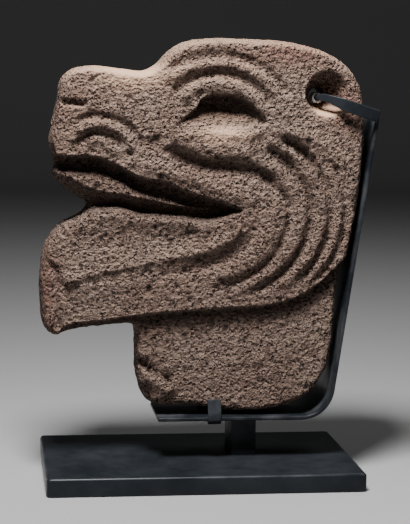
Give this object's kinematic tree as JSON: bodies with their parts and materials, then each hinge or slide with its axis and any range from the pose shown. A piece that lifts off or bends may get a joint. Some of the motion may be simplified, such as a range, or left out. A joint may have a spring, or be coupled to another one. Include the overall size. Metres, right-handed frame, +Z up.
{
  "type": "carved stone hacha",
  "caption": "Thick carved stone hacha: an open-muzzled animal head in profile on a plain tenon block, on a bent metal cradle stand.",
  "frame": {"origin": "centre of the stand's underside", "axes": "+Z up, the head looks towards -X and its shown face towards -Y"},
  "size_m": [0.2373, 0.137, 0.3097],
  "materials": {
    "stone": "porous worn volcanic stone",
    "stand_metal": "satin black",
    "sleeve": "translucent tube"
  },
  "bodies": {
    "root": {"stone_hacha": "stone", "base_plate": "stand_metal", "post": "stand_metal", "back_strap": "stand_metal", "cross_clip": "stand_metal", "hook_arm": "stand_metal", "hook_sleeve": "sleeve"}
  },
  "joints": []
}
